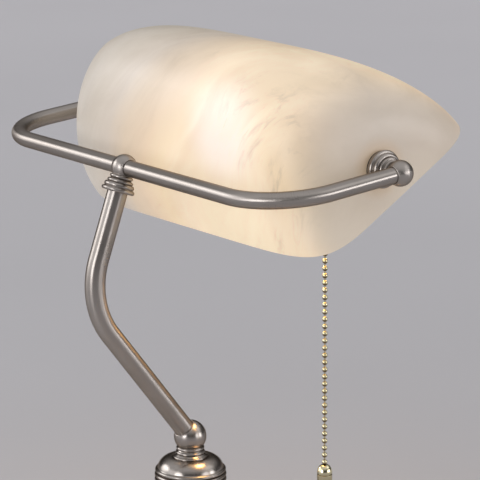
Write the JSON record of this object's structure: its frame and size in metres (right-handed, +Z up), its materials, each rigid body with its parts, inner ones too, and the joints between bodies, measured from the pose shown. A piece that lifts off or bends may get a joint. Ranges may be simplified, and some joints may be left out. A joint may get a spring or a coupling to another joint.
{
  "type": "banker desk lamp",
  "caption": "Desk lamp with a weighted round foot, bent stem, U-shaped yoke and a long glass shade that tilts on side pivots, switched by a hanging bead chain.",
  "frame": {"origin": "centre of the felt pad's underside, on the table", "axes": "+Z up; X along the yoke's bar and the shade's tilt axis; the user sits on the -Y side; the socket is at the -X end"},
  "size_m": [0.292, 0.2078, 0.3569],
  "materials": {
    "felt": "dense pressed felt, dull",
    "cast_iron": "rough casting, painted dark",
    "satin_nickel": "fine brushed satin nickel plate, clear lacquered",
    "brass": "plain machined brass",
    "chain_brass": "polished pressed brass beads",
    "socket_brass": "drawn brass, light satin",
    "steel": "zinc plated steel, slightly dull",
    "screw_steel": "black oxide steel",
    "alabaster_glass": "cased cream glass with soft alabaster veins, satin",
    "rubber": "soft black rubber, dull",
    "phenolic": "moulded dark phenolic",
    "liner_card": "brown pressed insulating card",
    "contact_brass": "bright stamped brass",
    "bulb_metal": "bright rolled aluminium thread",
    "bulb_glass": "soft white coated glass",
    "lead_cover": "brown flexible insulation"
  },
  "bodies": {
    "lamp_stand": {"felt_pad": "felt", "base_weight": "cast_iron", "foot_shell": "satin_nickel", "cord_bushing": "rubber", "column": "satin_nickel", "column_cap": "satin_nickel", "central_rod": "steel", "base_washer": "steel", "base_nut": "steel", "knuckle_fitting": "satin_nickel", "stem_tube": "satin_nickel", "tee_fitting": "satin_nickel", "tee_set_screws": "screw_steel", "yoke_tube": "satin_nickel", "end_fitting_near": "satin_nickel", "end_fitting_far": "satin_nickel", "pivot_nipple_near": "brass", "pivot_nipple_far": "brass", "outer_washer_near": "satin_nickel", "outer_washer_far": "satin_nickel", "inner_washer_near": "steel", "inner_washer_far": "steel", "pivot_nut_near": "brass", "pivot_nut_far": "brass", "socket_cap": "socket_brass", "socket_shell": "socket_brass", "socket_liner": "liner_card", "socket_body": "phenolic", "screw_shell": "contact_brass", "centre_contact": "contact_brass", "chain_outlet": "socket_brass", "bulb_base": "bulb_metal", "bulb_globe": "bulb_glass", "inner_lead": "lead_cover"},
    "shade": {"shade_glass": "alabaster_glass", "grommet_near": "rubber", "grommet_far": "rubber"},
    "pull_switch": {"chain_toggle": "chain_brass"},
    "hanging_chain": {"bead_chain": "chain_brass", "chain_pull": "chain_brass"}
  },
  "joints": [
    {"name": "shade_tilt", "type": "hinge", "parent": "lamp_stand", "child": "shade", "pos_m": [0, -0.04386, 0.29722], "axis": [-1, 0, 0], "range_deg": [-40, 15]},
    {"name": "switch_pull", "type": "slide", "parent": "lamp_stand", "child": "pull_switch", "axis": [0, 0.2538, -0.9673], "range_m": [0, 0.008], "stiffness_N_per_m": 500, "springref_m": -0.003},
    {"name": "chain_swing", "type": "hinge", "parent": "pull_switch", "child": "hanging_chain", "pos_m": [-0.08005, -0.03818, 0.27555], "axis": [1, 0, 0], "range_deg": [-12, 12]}
  ]
}
